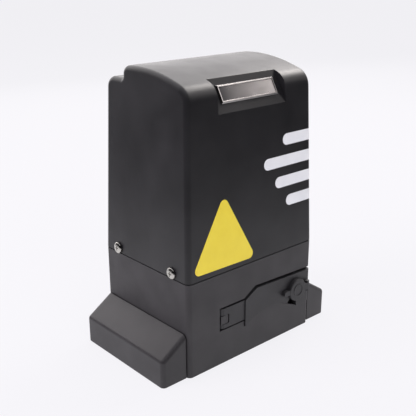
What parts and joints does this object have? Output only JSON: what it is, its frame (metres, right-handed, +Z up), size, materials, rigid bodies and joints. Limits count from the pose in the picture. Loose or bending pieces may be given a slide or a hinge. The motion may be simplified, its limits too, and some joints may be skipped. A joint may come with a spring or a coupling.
{
  "type": "sliding gate motor",
  "caption": "Sliding gate operator with a cast base, lift-off hood, key-locked release lever, foot covers, worm gear train, clutch and rack pinion.",
  "frame": {"origin": "middle of the underside, at the centre of the four anchor slots", "axes": "+X right along the front, +Y to the rear where the pinion is, +Z up"},
  "size_m": [0.2646, 0.2086, 0.3294],
  "materials": {
    "cast_black": "satin textured black",
    "hood_plastic": "fine grained satin black",
    "cover_plastic": "fine grained satin black",
    "lever_plastic": "satin black",
    "rubber": "matt",
    "badge_metal": "polished dark nickel",
    "badge_face": "brushed dark nickel",
    "bright_steel": "bright zinc plated",
    "steel": "machined",
    "gear_steel": "hobbed",
    "bronze": "machined bronze",
    "copper": "varnished wire",
    "aluminium": "die cast",
    "lamination": "punched sheet",
    "pcb": "solder mask",
    "black_part": "moulded",
    "blue_part": "moulded",
    "green_part": "moulded",
    "white_part": "moulded",
    "tape": "tape"
  },
  "bodies": {
    "base": {"base_housing": "cast_black", "front_wall": "cast_black", "anchor_ears": "cast_black", "inner_bosses": "cast_black", "cable_grommet": "rubber", "levelling_screws": "steel", "seam_gasket": "rubber", "hood_screws": "bright_steel", "lever_hinge_pin": "steel", "shaft_bearings": "steel", "shaft_seal": "rubber", "worm_bearings": "steel", "motor_flange": "aluminium", "motor_housing": "aluminium", "motor_stator": "lamination", "motor_windings": "copper", "motor_end_cap": "aluminium", "deck_plate": "aluminium", "cap_screws": "steel", "oil_plug": "bronze", "run_capacitor": "white_part", "capacitor_clip": "steel", "transformer_core": "lamination", "transformer_coil": "tape", "board_bracket": "steel", "control_board": "pcb", "board_screws": "steel", "relays": "blue_part", "terminal_block": "green_part", "heat_sink": "aluminium", "board_parts": "black_part", "button_switches": "black_part", "limit_switch_box": "black_part", "microswitches": "blue_part"},
    "hood": {"hood": "hood_plastic", "badge_frame": "badge_metal", "badge_face": "badge_face"},
    "foot_cover_left": {"foot_cover_left": "cover_plastic"},
    "foot_cover_right": {"foot_cover_right": "cover_plastic"},
    "release_lever": {"release_lever": "lever_plastic", "dust_cap_pin": "steel"},
    "lock_cylinder": {"lock_barrel": "bright_steel", "lock_cam": "steel"},
    "lock_dust_cap": {"lock_dust_cap": "lever_plastic"},
    "output_shaft": {"output_shaft": "steel", "shaft_key": "steel", "output_pinion": "gear_steel", "pinion_bolt": "bright_steel"},
    "worm_wheel": {"worm_wheel": "bronze"},
    "clutch_sleeve": {"clutch_sleeve": "gear_steel", "clutch_spring": "steel"},
    "release_fork": {"release_fork": "steel"},
    "motor_rotor": {"worm_shaft": "gear_steel", "motor_rotor": "lamination"},
    "limit_wand": {"limit_switch_hub": "black_part", "wand_spring": "steel", "wand_tip": "black_part"},
    "board_button_1": {"board_button_1": "white_part"},
    "board_button_2": {"board_button_2": "white_part"},
    "board_button_3": {"board_button_3": "white_part"}
  },
  "joints": [
    {"name": "hood_lift", "type": "slide", "parent": "base", "child": "hood", "axis": [0, 0, 1], "range_m": [0, 0.24]},
    {"name": "foot_cover_left_pull", "type": "slide", "parent": "base", "child": "foot_cover_left", "axis": [-1, 0, 0], "range_m": [0, 0.06]},
    {"name": "foot_cover_right_pull", "type": "slide", "parent": "base", "child": "foot_cover_right", "axis": [1, 0, 0], "range_m": [0, 0.06]},
    {"name": "lever_swing", "type": "hinge", "parent": "base", "child": "release_lever", "pos_m": [-0.0465, -0.0705, 0.056], "axis": [0, 0, -1], "range_deg": [0, 90]},
    {"name": "fork_slide", "type": "slide", "parent": "base", "child": "release_fork", "axis": [0, 1, 0], "range_m": [0, 0.006]},
    {"name": "clutch_slide", "type": "slide", "parent": "output_shaft", "child": "clutch_sleeve", "axis": [0, 1, 0], "range_m": [0, 0.006], "deforming": ["clutch_spring"]},
    {"name": "lock_turn", "type": "hinge", "parent": "release_lever", "child": "lock_cylinder", "pos_m": [0.07, -0.07, 0.0557], "axis": [0, 1, 0], "range_deg": [0, 90]},
    {"name": "dust_cap_flip", "type": "hinge", "parent": "release_lever", "child": "lock_dust_cap", "pos_m": [0.0888, -0.0794, 0.0557], "axis": [0, 0, 1], "range_deg": [0, 120]},
    {"name": "motor_spin", "type": "hinge", "parent": "base", "child": "motor_rotor", "pos_m": [0.048, -0.02, 0.056], "axis": [0, 0, 1], "continuous": true},
    {"name": "wheel_spin", "type": "hinge", "parent": "base", "child": "worm_wheel", "pos_m": [0, -0.02, 0.056], "axis": [0, 1, 0], "continuous": true},
    {"name": "output_spin", "type": "hinge", "parent": "base", "child": "output_shaft", "pos_m": [0, 0, 0.056], "axis": [0, 1, 0], "continuous": true},
    {"name": "wand_swing", "type": "hinge", "parent": "base", "child": "limit_wand", "pos_m": [0, 0.058, 0.136], "axis": [0, 0, 1], "range_deg": [-20, 20], "stiffness_Nm_per_rad": 0.15},
    {"name": "button_1_press", "type": "slide", "parent": "base", "child": "board_button_1", "axis": [0, 1, 0], "range_m": [0, 0.0008], "stiffness_N_per_m": 500, "springref_m": -0.0004},
    {"name": "button_2_press", "type": "slide", "parent": "base", "child": "board_button_2", "axis": [0, 1, 0], "range_m": [0, 0.0008], "stiffness_N_per_m": 500, "springref_m": -0.0004},
    {"name": "button_3_press", "type": "slide", "parent": "base", "child": "board_button_3", "axis": [0, 1, 0], "range_m": [0, 0.0008], "stiffness_N_per_m": 500, "springref_m": -0.0004}
  ],
  "couplings": [
    {"joint": "wheel_spin", "follows": "motor_spin", "ratio": 0.026316},
    {"joint": "output_spin", "follows": "motor_spin", "ratio": 0.026316},
    {"joint": "fork_slide", "follows": "lever_swing", "m_per_rad": 0.0038197},
    {"joint": "clutch_slide", "follows": "lever_swing", "m_per_rad": 0.0038197}
  ]
}
